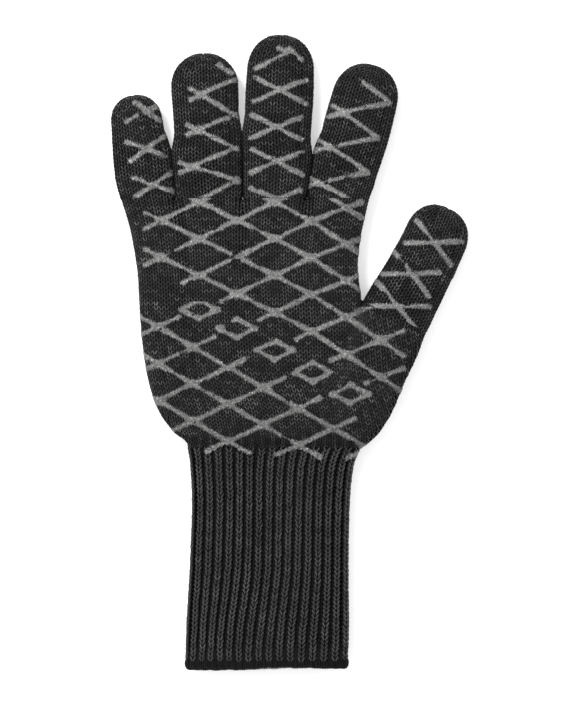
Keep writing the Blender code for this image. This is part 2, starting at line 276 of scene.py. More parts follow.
def hand_low(column, course, inset):
    """The hand between the wrist and the thumb's crotch, thumb root included."""
    column, back = fold(column, LOW_COLUMNS)
    v = course / LOW_COURSES
    share = hand_shares(column / LOW_COLUMNS)
    edges = np.array(WRIST_EDGES) + (inset, -inset)

    def wrist(column):
        return np.stack([edges[0] + (edges[1] - edges[0]) * share, np.full_like(share, WRIST_Y)], -1)

    def left(at):
        return left_low(at) + (inset, 0)

    def right(at):
        return right_low(at) + (-inset, 0.4 * inset)

    plan, parted, part_middle, part_rise = patch(column, v, LOW_COLUMNS, wrist, left, right,
                                                 wide_row(inset), THUMB_PARTS_FROM)
    half = np.interp(v, THICKNESS_AT, THICKNESS) / 2
    middle = half + parted * (part_middle - half)
    rise = (half - inset) * crown(share, HAND_POWER)
    return plan, middle, rise + parted * (part_rise - rise), back


def hand_high(column, course, inset):
    """The hand between the thumb's crotch and the knuckles."""
    column, back = fold(column, HAND_COLUMNS)
    v = course / HIGH_COURSES
    crotch = crotch_row(inset)
    at = np.arange(HAND_COLUMNS + 1)

    def lower(column):
        return np.stack([np.interp(column, at, crotch[0]), np.interp(column, at, crotch[1])], -1)

    def left(at):
        return left_high(at) + (inset, 0)

    def right(at):
        return right_high(at) + (-inset, 0)

    plan, parted, part_middle, part_rise = patch(column, v, HAND_COLUMNS, lower, left, right,
                                                 knuckle_row(inset), FINGERS_PART_FROM)
    half = np.interp(1 + v, THICKNESS_AT, THICKNESS) / 2
    share = hand_shares(column / HAND_COLUMNS)
    middle = half + parted * (part_middle - half)
    rise = (half - inset) * crown(share, HAND_POWER)
    return plan, middle, rise + parted * (part_rise - rise), back


CLOTH_WAVE = 0.3
CLOTH_WAVE_SIZE = 9.0


def cloth_point(region, column, course, inset):
    """A point of a region's cloth, inset from its outside, in millimetres."""
    plan, middle, rise, back = region(column, course, inset)
    sway = CLOTH_WAVE * bumps(plan[..., 0], plan[..., 1], CLOTH_WAVE_SIZE, 1.3) * np.clip(rise / 6, 0, 1)
    z = np.where(back, middle - rise, middle + rise + sway)
    return np.stack([plan[..., 0], plan[..., 1], z], -1)


def cloth(region, column, course, lift, inset=CREST):
    """Cloth points pushed lift millimetres out along the surface, and the way out at each."""
    step = 0.15
    here = cloth_point(region, column, course, inset)
    across = (cloth_point(region, column + step, course, inset)
              - cloth_point(region, column - step, course, inset))
    along = (cloth_point(region, column, course + step, inset)
             - cloth_point(region, column, course - step, inset))
    out = np.cross(across, along)
    out /= np.maximum(np.linalg.norm(out, axis=-1, keepdims=True), 1e-9)
    return here + out * np.asarray(lift)[..., None], out


def stockinette_row(region, course, columns):
    """One row of knit loops round a region: the legs stand forward and the heads and feet sit behind."""
    stitches = 2 * columns
    turn = np.tile(np.arange(POINTS_PER_STITCH) / POINTS_PER_STITCH * 2 * np.pi - np.pi, stitches)
    stitch = np.repeat(np.arange(stitches), POINTS_PER_STITCH)
    loose = np.repeat(unevenness.normal(0, 1, (stitches, 3)), POINTS_PER_STITCH, axis=0)
    column = stitch + 0.5 + turn / (2 * np.pi) + (LOOP_LEAN + LOOSE_LEAN * loose[:, 0]) * np.sin(2 * turn)
    row = course + 0.5 + (LOOP_HEIGHT + LOOSE_HEIGHT * loose[:, 1]) * np.cos(turn)
    lift = -YARN_SWING * np.cos(2 * turn) + LOOSE_LIFT * loose[:, 2] * (1 - np.cos(2 * turn))
    places, out = cloth(region, column, row, lift)
    return places, out, lift


def yarn_piece(name, rows, material, radius=YARN_RADIUS):
    """Rows of yarn as one mesh.  Each point of a row gives four corners, which also keep how far
    they stand out of the cloth, from 0 in its depth to 1 on its crests, less any painted shade the
    rows add.  The yarn's colour paints shade and highlight from this height."""
    curve = bpy.data.curves.new(name, "CURVE")
    curve.dimensions = "3D"
    curve.bevel_depth = radius * MM
    curve.bevel_resolution = 0
    for places, _, _ in rows:
        strand = curve.splines.new("POLY")
        strand.points.add(len(places) - 1)
        strand.points.foreach_set("co", np.column_stack([places * MM, np.ones(len(places))]).ravel())
        strand.use_cyclic_u = True
    holder = bpy.data.objects.new(name + "_strand", curve)
    mesh = bpy.data.meshes.new_from_object(holder)
    bpy.data.objects.remove(holder)
    corners = np.empty(len(mesh.vertices) * 3, np.float32)
    mesh.vertices.foreach_get("co", corners)
    centres, out, lift = (np.repeat(np.concatenate(part), 4, axis=0) for part in zip(*rows))
    shade_height = lift + ((corners.reshape(-1, 3) / MM - centres) * out).sum(-1)
    height = mesh.attributes.new("height_and_painted_shade", "FLOAT", "POINT")
    height.data.foreach_set("value", np.clip((shade_height / CREST + 1) / 2, 0, 1).astype(np.float32))
    mesh.name = name
    mesh.shade_smooth()
    piece = bpy.data.objects.new(name, mesh)
    mesh.materials.clear()
    mesh.materials.append(material)
    bpy.context.scene.collection.objects.link(piece)
    return piece


def fine_noise(nodes, links, scale, detail=2.0):
    """A noise that is fixed to the piece it is on."""
    place = nodes.new("ShaderNodeTexCoord")
    noise = nodes.new("ShaderNodeTexNoise")
    noise.inputs["Scale"].default_value = scale
    noise.inputs["Detail"].default_value = detail
    links.new(place.outputs["Object"], noise.inputs["Vector"])
    return noise


def yarn_material(name, shade_and_highlight_colours):
    """Spun yarn: matt, with pale fibres, painted shade down between the loops and a painted highlight on
    their crests.
    """
    material = bpy.data.materials.new(name)
    material.use_nodes = True
    nodes, links = material.node_tree.nodes, material.node_tree.links
    shader = nodes["Principled BSDF"]
    shade_height = nodes.new("ShaderNodeAttribute")
    shade_height.attribute_name = "height_and_painted_shade"
    fibres = fine_noise(nodes, links, 1900.0, 3.0)
    clouds = fine_noise(nodes, links, 70.0, 4.0)
    fibre_shift = nodes.new("ShaderNodeMath")
    fibre_shift.operation = "MULTIPLY_ADD"
    fibre_shift.inputs[1].default_value = 0.20
    cloud_shift = nodes.new("ShaderNodeMath")
    cloud_shift.operation = "MULTIPLY_ADD"
    cloud_shift.inputs[1].default_value = 0.10
    centre = nodes.new("ShaderNodeMath")
    centre.operation = "SUBTRACT"
    centre.inputs[1].default_value = 0.15
    ramp = nodes.new("ShaderNodeValToRGB")
    ramp.color_ramp.elements[0].position, ramp.color_ramp.elements[0].color = shade_and_highlight_colours[0]
    ramp.color_ramp.elements[1].position, ramp.color_ramp.elements[1].color = shade_and_highlight_colours[-1]
    for position, colour in shade_and_highlight_colours[1:-1]:
        ramp.color_ramp.elements.new(position).color = colour
    bump = nodes.new("ShaderNodeBump")
    bump.inputs["Strength"].default_value = 0.6
    bump.inputs["Distance"].default_value = 0.00025
    links.new(fibres.outputs["Fac"], fibre_shift.inputs[0])
    links.new(shade_height.outputs["Fac"], fibre_shift.inputs[2])
    links.new(clouds.outputs["Fac"], cloud_shift.inputs[0])
    links.new(fibre_shift.outputs[0], cloud_shift.inputs[2])
    links.new(cloud_shift.outputs[0], centre.inputs[0])
    links.new(centre.outputs[0], ramp.inputs["Fac"])
    links.new(ramp.outputs["Color"], shader.inputs["Base Color"])
    links.new(fibres.outputs["Fac"], bump.inputs["Height"])
    links.new(bump.outputs["Normal"], shader.inputs["Normal"])
    shader.inputs["Roughness"].default_value = 0.9
    shader.inputs["Sheen Weight"].default_value = 0.05
    shader.inputs["Sheen Roughness"].default_value = 0.5
    shader.inputs["Specular IOR Level"].default_value = 0.2
    return material


# The charcoal yarn's ramp runs from painted shade in the depths of the knit to a painted highlight on the
# crests of the loops.
charcoal_yarn = yarn_material("charcoal_yarn", [
    (0.42, (0.0012, 0.0012, 0.0012, 1)), (0.72, (0.0036, 0.0036, 0.0036, 1)),
    (0.88, (0.023, 0.023, 0.023, 1)), (1.0, (0.155, 0.153, 0.150, 1))])
# The ground: a sleeve close behind the loops, standing for the knit's fuzzy inner face, which closes the gaps
# between them.  Its near-black colour is painted shade in those gaps, and under the hem's wraps.
ground_shade_cloth = bpy.data.materials.new("backing_painted_shade")
ground_shade_cloth.use_nodes = True
ground_nodes, ground_links = ground_shade_cloth.node_tree.nodes, ground_shade_cloth.node_tree.links
ground_noise = fine_noise(ground_nodes, ground_links, 900.0)
ground_ramp = ground_nodes.new("ShaderNodeValToRGB")
ground_ramp.color_ramp.elements[0].color = (0.001, 0.001, 0.001, 1)
ground_ramp.color_ramp.elements[1].color = (0.004, 0.004, 0.004, 1)
ground_links.new(ground_noise.outputs["Fac"], ground_ramp.inputs["Fac"])
ground_shader = ground_nodes["Principled BSDF"]
ground_links.new(ground_ramp.outputs["Color"], ground_shader.inputs["Base Color"])
ground_shader.inputs["Roughness"].default_value = 1.0
ground_shader.inputs["Specular IOR Level"].default_value = 0.0


def smooth_piece(name, bm, material):
    """A finished bmesh as a smooth piece of one material."""
    mesh = bpy.data.meshes.new(name)
    bm.to_mesh(mesh)
    bm.free()
    mesh.shade_smooth()
    mesh.materials.append(material)
    piece = bpy.data.objects.new(name, mesh)
    bpy.context.scene.collection.objects.link(piece)
    return piece


def give_wall(piece, wall):
    """Thickens a skin inwards by a wall in millimetres."""
    thickness = piece.modifiers.new("wall", "SOLIDIFY")
    thickness.thickness = wall * MM
    thickness.offset = -1.0


def sleeve(name, region, columns, first, last, inset, wall, material):
    """A plain cloth sleeve inside a region, from one row to another, with its wall turned inwards."""
    bm = bmesh.new()
    bmesh.ops.create_grid(bm, x_segments=2 * columns, y_segments=max(4, int(last - first)), size=1)
    column = np.array([(v.co.x + 1) * columns for v in bm.verts])
    course = np.array([first + (v.co.y + 1) / 2 * (last - first) for v in bm.verts])
    for vert, place in zip(bm.verts, cloth_point(region, column, course, inset) * MM):
        vert.co = place
    bmesh.ops.remove_doubles(bm, verts=bm.verts, dist=1e-5)
    bmesh.ops.recalc_face_normals(bm, faces=bm.faces)
    piece = smooth_piece(name, bm, material)
    give_wall(piece, wall)
    return piece


WALES_AT = (0.0, 0.12, 0.3, 0.55, 0.97)
WALES = (36.0, 41.0, 47.0, 52.0, LOW_COLUMNS)
LEFT_WALES = (0.0, 2.5, 5.0, 5.0, 5.0)
RIBBED_TO = 7.0
RIBBED_DEPTH = 0.6
# Painted shade on the sunk wales near the wrist.
RIBBED_SHADE = 0.4
RIBS_START = 0.16
RIBS_PER_FACE = 17


def wales(course):
    """How many wales lie across the lower hand at a row, and how many of them have joined at its left.
    Most join one by one at the thumb's side."""
    at = course / LOW_COURSES
    return np.interp(at, WALES_AT, WALES), np.interp(at, WALES_AT, LEFT_WALES)


def low_row(course):
    """One row of the lower hand, its wales evenly spaced but for the outer two, which are still growing."""
    here, here_left = wales(course)
    joined = int(here_left)
    kept = int(here - here_left) + joined

    def narrowed(column, course_at, inset):
        column, back = fold(column, kept)
        across, left = wales(course_at)
        pitch = LOW_COLUMNS / across
        begins, ends = (1 - joined + left) * pitch, (kept - 1 - joined + left) * pitch
        placed = np.where(column < 1, begins * column, (column - joined + left) * pitch)
        placed = np.where(column > kept - 1, ends + (LOW_COLUMNS - ends) * (column - kept + 1), placed)
        return hand_low(np.where(back, 2 * LOW_COLUMNS - placed, placed), course_at, inset)

    places, out, shade_height = stockinette_row(narrowed, course, kept)
    x = (places[:, 0] - WRIST_EDGES[0]) / (WRIST_EDGES[1] - WRIST_EDGES[0])
    sunk = (0.5 - 0.5 * np.cos(2 * np.pi * (RIBS_PER_FACE * x + RIBS_START))) ** 2
    sunk = RIBBED_DEPTH * (1 - ease((course + 1) / RIBBED_TO)) * (1 - sunk) * (np.abs(x - 0.5) < 0.5)
    # The sunk wales near the wrist are pushed in and also given painted shade.
    return places - out * sunk[:, None], out, shade_height - RIBBED_SHADE * sunk


def high_row(course):
    """One row of the upper hand."""
    return stockinette_row(hand_high, course, HAND_COLUMNS)


def knit(name, row, first, last):
    """The rows of one part of the hand as one piece of charcoal yarn."""
    return yarn_piece(name, [row(course) for course in range(first, last)], charcoal_yarn)


GROUND_INSET = CREST + 0.25
GROUND_WALL = 0.5
palm_pieces = [
    knit("palm_knit_heel", low_row, 0, LOW_COURSES // 2),
    knit("palm_knit_middle", low_row, LOW_COURSES // 2, LOW_COURSES),
    knit("palm_knit_top", high_row, 0, HIGH_COURSES),
    sleeve("palm_ground_low", hand_low, LOW_COLUMNS, 0, LOW_COURSES, GROUND_INSET, GROUND_WALL,
           ground_shade_cloth),
    sleeve("palm_ground_high", hand_high, HAND_COLUMNS, 0, HIGH_COURSES, GROUND_INSET, GROUND_WALL,
           ground_shade_cloth),
]
for piece in palm_pieces:
    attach(piece, "palm")
    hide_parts("palm_shell")

# Stalls.  Each finger and the thumb is a smaller stockinette tube, narrowed wale by wale at the tip.
# A stall bends at its root and half way up, so its knit is two pieces.
BEND_REACH = 7.0
ROOT_BLEND = 16.0
TAPER_SHARE = 0.45
TIP_ROUNDING = 0.9
TIP_DOMING = 0.75
SIDE_FOLD = 0.16
SIDE_FOLD_AT = 0.87
SIDE_FOLD_WIDTH = 0.035
EDGE_SWAY = 0.28
EDGE_SWAY_SIZE = 7.3
# Painted shade on the yarn in the creases where two stalls lie against each other, on the sides that face a
# neighbour, fading out between CREASE_ENDS.
CREASE_SHADE = 1.0
CREASE_FACING = 0.6
CREASE_ENDS = (18.0, 38.0)
TOUCHING_TO = {("little", "ring"): 22.0, ("ring", "middle"): 32.0, ("middle", "index"): 20.0}
TOUCH_FADE = 14.0
BULGES = {("thumb", 1): ((0, 12, 20, 31, 42, 50, 62), (0, 0.5, 0.7, 0.9, 1.0, 1.1, 1.2)),
          ("thumb", -1): ((0, 12, 20, 31, 42, 50, 62), (0, -0.3, -1.2, -2.0, -2.3, -1.8, -1.0)),
          ("little", -1): ((0, 6, 12, 22, 32, 42), (0, 0.9, 1.5, 1.2, 0.6, 0))}
TOUCH_GAP = -0.7
stall_regions = {}


def stall_half(name, distance):
    """Half the width of a stall along its length, before its tip."""
    stall = STALLS[name]
    half_root, half_tip = stall["root"] / 2, stall["width"] / 2
    phase = distance / EDGE_SWAY_SIZE + 9 * math.radians(stall["lean"])
    sway = EDGE_SWAY * np.sin(phase) * ease(distance / 20)
    return half_root + (half_tip - half_root) * ease(distance / (stall["length"] * TAPER_SHARE)) + sway


def stall_edge(name, side, distance):
    """A stall's left or right edge in the plan, seen along its length."""
    stall = STALLS[name]
    lean = math.radians(stall["lean"])
    turned = lean * ease(distance / ROOT_BLEND)
    half = side * stall_half(name, distance)
    return (stall["base"][0] + math.sin(lean) * distance + np.cos(turned) * half,
            stall["base"][1] + math.cos(lean) * distance - np.sin(turned) * half)


def leaning_out(name, side, distance):
    """How far a stall bulges towards its neighbour, where the two lie against each other at the root."""
    for pair, touching_to in TOUCHING_TO.items():
        if name == pair[0 if side > 0 else 1]:
            along = np.linspace(-2, 60, 125)
            own = stall_edge(name, side, along)
            other = stall_edge(pair[1 if side > 0 else 0], -side, along)
            gap = side * (np.interp(own[1], other[1], other[0]) - own[0])
            bulge = np.maximum(0, gap - TOUCH_GAP * ease(along / 4)) / 2
            return np.interp(distance, along, bulge) * (1 - ease((distance - touching_to) / TOUCH_FADE))
    if (name, side) in BULGES:
        return np.interp(distance, *BULGES[name, side])
    return 0 * distance


def stall_region(name):
    """The cloth of one stall: a leaning tube that closes in a rounded tip."""
    stall = STALLS[name]
    base = np.array(stall["base"])
    lean = math.radians(stall["lean"])
    along = np.array([math.sin(lean), math.cos(lean)])
    half_tip = stall["width"] / 2
    shoulder = stall["length"] - half_tip
    deep_root, deep_tip = stall["thick"][0] / 2, stall["thick"][1] / 2

    def region(column, course, inset, columns=stall["columns"]):
        column, back = fold(column, columns)
        distance = course * COURSE
        share = stall_shares(column / columns)
        end = half_tip - inset
        over = np.clip((distance - shoulder) / end, 0, np.pi / 2)
        reach = np.minimum(distance, shoulder) + end * np.sin(over)
        half = (stall_half(name, distance) - inset) * np.cos(over) ** TIP_ROUNDING
        turned = lean if name == "thumb" else lean * ease(distance / ROOT_BLEND)
        across = np.stack([np.cos(turned) + 0 * distance, -np.sin(turned) + 0 * distance], -1)
        offset = (half * (2 * share - 1) + share * leaning_out(name, 1, distance)
                  - (1 - share) * leaning_out(name, -1, distance))
        plan = base + along * reach[..., None] + across * offset[..., None]
        deep = deep_root + (deep_tip - deep_root) * reach / stall["length"]
        root_power = STALL_POWER if name == "thumb" else ROOT_POWER
        power = root_power + (STALL_POWER - root_power) * ease(distance / ROOT_BLEND)
        rise = (deep - inset) * np.cos(over) ** TIP_DOMING * crown(share, power)
        crease = np.exp(-((share - SIDE_FOLD_AT) / SIDE_FOLD_WIDTH) ** 2)
        groove = SIDE_FOLD * crease * ease((distance - 8) / 16)
        return plan, deep, np.where(back, rise, rise * (1 - groove)), back

    region.rows = (shoulder + (half_tip - CREST) * np.pi / 2) / COURSE
    region.shoulder_row = shoulder / COURSE
    region.tip = half_tip - CREST
    return region


def knit_stall(name, part, first, last):
    """Rows of a stall.  Over the tip each row has fewer columns, so that the middle ones run on in line."""
    region, columns = stall_regions[name], STALLS[name]["columns"]
    rows = []
    for course in range(first, last):
        over = max(0.0, (course + 0.5 - region.shoulder_row) * COURSE / region.tip)
        narrowing = 1 - math.cos(min(over, math.pi / 2)) ** TIP_ROUNDING
        kept = max(2, columns - 2 * round(narrowing * (columns - 1) / 2))

        def narrowed(column, course_at, inset, kept=kept):
            return region(column, np.minimum(course_at, region.rows - 0.12), inset, kept)

        places, out, shade_height = stockinette_row(narrowed, course, kept)
        # Painted shade on the sides of the stall near its root, where it lies in the crease beside its
        # neighbour.
        beside = ease((CREASE_FACING - np.abs(out[:, 2])) / CREASE_FACING)
        near = 1 - ease((course * COURSE - CREASE_ENDS[0]) / (CREASE_ENDS[1] - CREASE_ENDS[0]))
        rows.append((places, out, shade_height - CREASE_SHADE * beside * near))
    return yarn_piece(name + "_knit_" + part, rows, charcoal_yarn)


def stall_line(name):
    """Where a stall's lower and upper joints start and end turning the cloth."""
    stall = STALLS[name]
    lean = math.radians(stall["lean"])
    along, base = Vector((math.sin(lean), math.cos(lean), 0)), Vector((*stall["base"], 0))
    split = int((stall["bend"] - BEND_REACH) / COURSE)
    marks = (0.0, min(ROOT_BLEND, split * COURSE), split * COURSE, stall["bend"] + BEND_REACH)
    return split, [tuple((base + along * mark) * MM) for mark in marks]


def follow_stall(piece, part):
    """Bakes a stall piece's placing into its mesh, alike for its lower and upper cloth."""
    if part == "lower":
        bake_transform(piece)
    else:
        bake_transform(piece)


for name, stall in STALLS.items():
    stall_regions[name] = region = stall_region(name)
    split = stall_line(name)[0]
    for part, first, last, end in (("lower", 0, split, split),
                                   ("upper", split, int(region.rows), region.rows)):
        yarn = knit_stall(name, part, first, last)
        ground = sleeve(name + "_ground_" + part, region, stall["columns"], first, end, GROUND_INSET,
                        GROUND_WALL, ground_shade_cloth)
        for piece in (yarn, ground):
            follow_stall(piece, part)
            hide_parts(name + "_shell_" + part)

# Cuff.  Long one-by-one rib in the same yarn: a raised column of plain stitches, then a narrow sunk
# column of purl, drawn in from the hand at the wrist and stretching over the forearm.
CUFF_COURSES = 50
CUFF_LOW_Y = -160.6
RIB_SHARE = 0.69
RIB_DEPTH = 1.45
RIB_DRIFT = 0.35
RIB_DRIFT_SIZE = 8.5
RIB_LEAN = 0.27
LOOSE_RIB = (0.02, 0.06, 0.05)
PURL_POINTS = 6
PURL_SWING = 0.6
CUFF_POWER = 2.9
CUFF_SLANT = 3.4
SLANT_FROM, SLANT_OVER = 0.06, 0.42
FOLD_REACH = 1.75
cuff_shares = even_shares(0.095, CUFF_POWER)
cuff_left = smooth_line([(-54.8, CUFF_LOW_Y), (-54.0, -140), (-52.4, -110), (-51.2, -78), (-52.2, -60),
                         (-53.6, -50)])
cuff_right = smooth_line([(30.6, CUFF_LOW_Y), (31.2, -140), (31.2, -110), (31.5, -78), (33.4, -60),
                          (37.5, -50)])
CUFF_THICKNESS_AT = (0, 0.6, 0.9, 1)
CUFF_THICKNESS = (17.0, 16.6, 17.0, 17.5)


def cuff_region(column, course, inset):
    """The cuff from its hem up to the wrist."""
    column, back = fold(column, RIBS_PER_FACE)
    v = course / CUFF_COURSES
    share = cuff_shares(column / RIBS_PER_FACE)
    left, right = cuff_left(v) + (inset, 0), cuff_right(v) - (inset, 0)
    plan = left + (right - left) * share[..., None]
    drift = RIB_DRIFT * bumps(plan[..., 0], 0.45 * plan[..., 1], RIB_DRIFT_SIZE, 5.1)
    plan[..., 0] += drift * ease(v * 5) * ease((1 - v) * 5)
    plan[..., 0] -= CUFF_SLANT * np.sin(np.pi * share) * (1 - ease((v - SLANT_FROM) / SLANT_OVER))
    deep = np.interp(v, CUFF_THICKNESS_AT, CUFF_THICKNESS) / 2
    return plan, deep, (deep - inset) * crown(share, CUFF_POWER), back


def cuff_ground_region(column, course, inset):
    """The cuff's ground cloth, which reaches further out in the side folds, close behind the ribs there."""
    plan, deep, rise, back = cuff_region(column, course, inset)
    share = cuff_shares(fold(column, RIBS_PER_FACE)[0] / RIBS_PER_FACE)
    plan[..., 0] += FOLD_REACH * (2 * share - 1) ** 5
    return plan, deep, rise, back


def rib_row(course):
    """One row of rib: in each rib a plain stitch standing forward and a purl stitch sunk behind it."""
    plain = np.arange(POINTS_PER_STITCH) / POINTS_PER_STITCH * 2 * np.pi - np.pi
    purl = np.arange(PURL_POINTS) / PURL_POINTS * 2 * np.pi - np.pi
    ribs = 2 * RIBS_PER_FACE
    column = np.concatenate([RIB_SHARE * (0.5 + plain / (2 * np.pi) + RIB_LEAN * np.sin(2 * plain)),
                             RIB_SHARE + (1 - RIB_SHARE) * (0.5 + purl / (2 * np.pi))])
    deep = RIB_DEPTH * ease((CUFF_COURSES + 1 - course) / 4) * (0.2 + 0.8 * ease((course - 0.5) / 4)) + 0.15
    lift = np.concatenate([-YARN_SWING * np.cos(2 * plain),
                           YARN_SWING * PURL_SWING * np.cos(2 * purl) - deep])
    row = np.concatenate([np.cos(plain), np.cos(purl)]) * LOOP_HEIGHT
    loose = np.repeat(unevenness.normal(0, 1, (ribs, 3)), len(column), axis=0)
    column = np.tile(column, ribs) + np.repeat(np.arange(ribs), len(column)) + LOOSE_RIB[0] * loose[:, 0]
    lift = np.tile(lift, ribs) + LOOSE_RIB[1] * loose[:, 1]
    row = course + 0.5 + np.tile(row, ribs) + LOOSE_RIB[2] * loose[:, 2]
    places, out = cloth(cuff_region, column, row, lift)
    return places, out, lift


# The cuff's yarn has its own ramp, from painted shade in the depths of the rib to a painted highlight on the
# crests.
rib_yarn = yarn_material("rib_yarn", [
    (0.42, (0.0042, 0.0042, 0.0042, 1)), (0.66, (0.010, 0.010, 0.010, 1)),
    (0.84, (0.040, 0.040, 0.040, 1)), (1.0, (0.100, 0.099, 0.097, 1))])
cuff_pieces = [
    yarn_piece("cuff_rib_low", [rib_row(course) for course in range(CUFF_COURSES // 2)], rib_yarn),
    yarn_piece("cuff_rib_high", [rib_row(course) for course in range(CUFF_COURSES // 2, CUFF_COURSES)],
               rib_yarn),
    sleeve("cuff_ground", cuff_ground_region, RIBS_PER_FACE * 2, -1.5, CUFF_COURSES, CREST + RIB_DEPTH + 0.3,
           GROUND_WALL, ground_shade_cloth),
]
for piece in cuff_pieces:
    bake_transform(piece)
    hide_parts("cuff_shell")

# Hem.  The cuff's edge, with the lining's, is turned and overlocked: a soft roll of cloth, closely
# wrapped in the same charcoal yarn, that sags a little along its length.
HEM_Y = -161.9
HEM_REACH = 2.9
HEM_DEEP = 1.9
HEM_INSET = 2.2
WRAPS = 150
WRAP_POINTS = 12
WRAP_RADIUS = 0.52
# Painted shade on the wraps: how strongly it follows each wrap round the roll, and how much darker the whole
# band is set.
WRAP_CONTRAST = 0.35
WRAP_SHADE = 0.31
ROLL_SHARE = 0.86
HEM_SAG = 0.9
HEM_SAG_SIZE = 11.0
HEM_RIPPLE = 0.45
HEM_RIPPLE_SIZE = 1.7
LOW_CORNER = (-55, 9)
CORNER_DROP = 0.6


def hem_ring(around, tilt, size):
    """A point on the roll round the cuff's edge: around 0 to 1 along the edge, tilt round the roll."""
    column = around * 2 * RIBS_PER_FACE
    v = np.zeros_like(around)
    edge = cloth_point(cuff_region, column, v, HEM_INSET)
    inner = cloth_point(cuff_region, column, v, HEM_INSET + 1)
    out = (edge - inner) / np.maximum(np.linalg.norm(edge - inner, axis=-1, keepdims=True), 1e-9)
    x, z = edge[..., 0], edge[..., 2]
    corner = CORNER_DROP * np.exp(-((x - LOW_CORNER[0]) / LOW_CORNER[1]) ** 2)
    sag = HEM_SAG * (bumps(x, z, HEM_SAG_SIZE, 0.4) - corner + HEM_RIPPLE * bumps(x, z, HEM_RIPPLE_SIZE, 2.4))
    edge[..., 1] = HEM_Y + sag + HEM_REACH * size * np.cos(tilt)
    return edge + out * (HEM_DEEP * size * np.sin(tilt))[..., None], out


turn = np.arange(WRAPS * WRAP_POINTS) / WRAP_POINTS
wrap_places, wrap_out = hem_ring(turn / WRAPS, 2 * np.pi * turn, 1.0)
# The wraps' colour comes from the painted shade ramp: lighter where a wrap faces out of the roll, darker
# round its underside, and darker over the whole band.
wrap_painted_shade = CREST * (WRAP_CONTRAST * np.sin(2 * np.pi * turn) - WRAP_SHADE)
hem_wraps = yarn_piece("cuff_hem_overlock", [(wrap_places, wrap_out, wrap_painted_shade)], charcoal_yarn,
                       WRAP_RADIUS)
roll_bm = bmesh.new()
bmesh.ops.create_grid(roll_bm, x_segments=120, y_segments=12, size=1)
roll_around = np.array([(v.co.x + 1) / 2 for v in roll_bm.verts])
roll_tilt = np.array([-(v.co.y + 1) * np.pi for v in roll_bm.verts])
for vert, place in zip(roll_bm.verts, hem_ring(roll_around, roll_tilt, ROLL_SHARE)[0] * MM):
    vert.co = place
bmesh.ops.remove_doubles(roll_bm, verts=roll_bm.verts, dist=1e-5)
bmesh.ops.recalc_face_normals(roll_bm, faces=roll_bm.faces)
hem_roll = smooth_piece("cuff_hem_roll", roll_bm, ground_shade_cloth)
for piece in (hem_wraps, hem_roll):
    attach(piece, "cuff")
    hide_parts("cuff_hem")

# Lining.  A second glove of soft grey cotton inside the knit, with the same stalls.  It is caught in
# the hem, and is seen only at the cuff's mouth.
LINING_INSET = 2.3
LINING_WALL = 1.2
lining_cotton = bpy.data.materials.new("lining_cotton")
lining_cotton.use_nodes = True
cotton_nodes, cotton_links = lining_cotton.node_tree.nodes, lining_cotton.node_tree.links
cotton_place = cotton_nodes.new("ShaderNodeTexCoord")
cotton_ribs = cotton_nodes.new("ShaderNodeTexWave")
cotton_ribs.bands_direction = "X"
cotton_ribs.inputs["Scale"].default_value = 190.0
cotton_ribs.inputs["Distortion"].default_value = 1.2
cotton_fluff = fine_noise(cotton_nodes, cotton_links, 1400.0, 5.0)
cotton_height = cotton_nodes.new("ShaderNodeMath")
cotton_height.operation = "ADD"
cotton_ramp = cotton_nodes.new("ShaderNodeValToRGB")
cotton_ramp.color_ramp.elements[0].color = (0.055, 0.053, 0.050, 1)
cotton_ramp.color_ramp.elements[1].color = (0.20, 0.195, 0.185, 1)
cotton_bump = cotton_nodes.new("ShaderNodeBump")
cotton_bump.inputs["Distance"].default_value = 0.0006
cotton_links.new(cotton_place.outputs["Object"], cotton_ribs.inputs["Vector"])
cotton_links.new(cotton_ribs.outputs["Fac"], cotton_height.inputs[0])
cotton_links.new(cotton_fluff.outputs["Fac"], cotton_height.inputs[1])
cotton_links.new(cotton_fluff.outputs["Fac"], cotton_ramp.inputs["Fac"])
cotton_links.new(cotton_height.outputs[0], cotton_bump.inputs["Height"])
cotton_shader = cotton_nodes["Principled BSDF"]
cotton_links.new(cotton_ramp.outputs["Color"], cotton_shader.inputs["Base Color"])
cotton_links.new(cotton_bump.outputs["Normal"], cotton_shader.inputs["Normal"])
cotton_shader.inputs["Roughness"].default_value = 0.95
cotton_shader.inputs["Sheen Weight"].default_value = 0.3


def lining(name, region, columns, first, last, inset=LINING_INSET):
    """One part of the lining."""
    return sleeve(name, region, columns, first, last, inset, LINING_WALL, lining_cotton)


for name, region, columns, courses in (("palm_lining_low", hand_low, LOW_COLUMNS, LOW_COURSES),
                                       ("palm_lining_high", hand_high, HAND_COLUMNS, HIGH_COURSES)):
    piece = lining(name, region, columns, 0, courses)
    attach(piece, "palm")
    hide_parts("palm_liner")
for name, region in stall_regions.items():
    split = stall_line(name)[0]
    for part, first, last in (("lower", 0, split), ("upper", split, region.rows - LINING_INSET / COURSE)):
        piece = lining(name + "_lining_" + part, region, STALLS[name]["columns"], first, last)
        follow_stall(piece, part)
        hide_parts(name + "_liner_" + part)
cuff_lining = lining("cuff_lining", cuff_region, RIBS_PER_FACE * 2, -1, CUFF_COURSES, CREST + RIB_DEPTH + 1.0)
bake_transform(cuff_lining)
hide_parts("cuff_liner")

